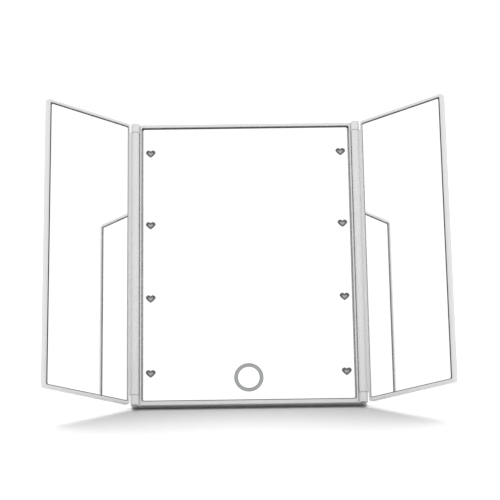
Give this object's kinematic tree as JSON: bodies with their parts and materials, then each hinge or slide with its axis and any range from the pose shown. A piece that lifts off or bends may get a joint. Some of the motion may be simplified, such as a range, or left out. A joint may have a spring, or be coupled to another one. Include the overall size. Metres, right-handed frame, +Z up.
{
  "type": "folding lighted vanity mirror",
  "caption": "Three-panel folding vanity mirror that stands on a rear kickstand, with heart-shaped light windows and a touch ring in the centre mirror and two hinged mirror leaves.",
  "frame": {"origin": "on the floor, at the middle of the footprint of the mirror as it stands open", "axes": "+Z up; the viewer and the mirrors' faces are on the -Y side; +X to the viewer's right, along the row of panels"},
  "size_m": [0.2346, 0.12, 0.181],
  "materials": {
    "housing": "satin-gloss white moulded plastic",
    "rear_shell": "fine-textured white moulded plastic",
    "mirror": "silvered mirror glass",
    "adhesive_pad": "white double-sided foam pad",
    "window_lens": "frosted grey diffuser",
    "touch_ring": "frosted grey ring",
    "led": "phosphor-coated light-emitting diode",
    "circuit_board": "green solder mask",
    "chip": "black moulded package",
    "steel": "plain steel",
    "nickel": "nickel plate",
    "copper": "copper pad",
    "red_wire": "red insulation",
    "black_wire": "black insulation"
  },
  "bodies": {
    "panel": {"front_frame": "housing", "rear_cover": "rear_shell", "centre_mirror": "mirror", "centre_mirror_pad": "adhesive_pad", "heart_lens_left_1": "window_lens", "led_left_1": "led", "heart_lens_left_2": "window_lens", "led_left_2": "led", "heart_lens_left_3": "window_lens", "led_left_3": "led", "heart_lens_left_4": "window_lens", "led_left_4": "led", "led_board_left": "circuit_board", "battery_cell_left": "nickel", "battery_contact_left": "steel", "hinge_pin_left_bottom": "steel", "hinge_pin_left_top": "steel", "cover_screw_left_1": "steel", "cover_screw_left_2": "steel", "heart_lens_right_1": "window_lens", "led_right_1": "led", "heart_lens_right_2": "window_lens", "led_right_2": "led", "heart_lens_right_3": "window_lens", "led_right_3": "led", "heart_lens_right_4": "window_lens", "led_right_4": "led", "led_board_right": "circuit_board", "battery_cell_right": "nickel", "battery_contact_right": "steel", "hinge_pin_right_bottom": "steel", "hinge_pin_right_top": "steel", "cover_screw_right_1": "steel", "cover_screw_right_2": "steel", "touch_ring": "touch_ring", "control_board": "circuit_board", "control_chip": "chip", "touch_electrode": "copper", "stand_pin": "steel", "battery_lead_left": "red_wire", "led_lead_left": "red_wire", "battery_lead_right": "black_wire", "led_lead_right": "black_wire"},
    "leaf_left": {"leaf_frame_left": "housing", "leaf_mirror_left": "mirror", "leaf_mirror_pad_left": "adhesive_pad"},
    "leaf_right": {"leaf_frame_right": "housing", "leaf_mirror_right": "mirror", "leaf_mirror_pad_right": "adhesive_pad"},
    "stand": {"stand_leg": "rear_shell"},
    "battery_door": {"battery_door": "rear_shell"}
  },
  "joints": [
    {"name": "leaf_left_hinge", "type": "hinge", "parent": "panel", "child": "leaf_left", "pos_m": [-0.0666, -0.01976, 0.00309], "axis": [0, 0.3907, 0.9205], "range_deg": [-43, 137]},
    {"name": "leaf_right_hinge", "type": "hinge", "parent": "panel", "child": "leaf_right", "pos_m": [0.0666, -0.01976, 0.00309], "axis": [0, -0.3907, -0.9205], "range_deg": [-43, 137]},
    {"name": "stand_hinge", "type": "hinge", "parent": "panel", "child": "stand", "pos_m": [0, 0.02857, 0.08904], "axis": [1, 0, 0], "range_deg": [-40.6, 0]},
    {"name": "battery_door_slide", "type": "slide", "parent": "panel", "child": "battery_door", "axis": [0, 0.3907, 0.9205], "range_m": [0, 0.03]}
  ]
}
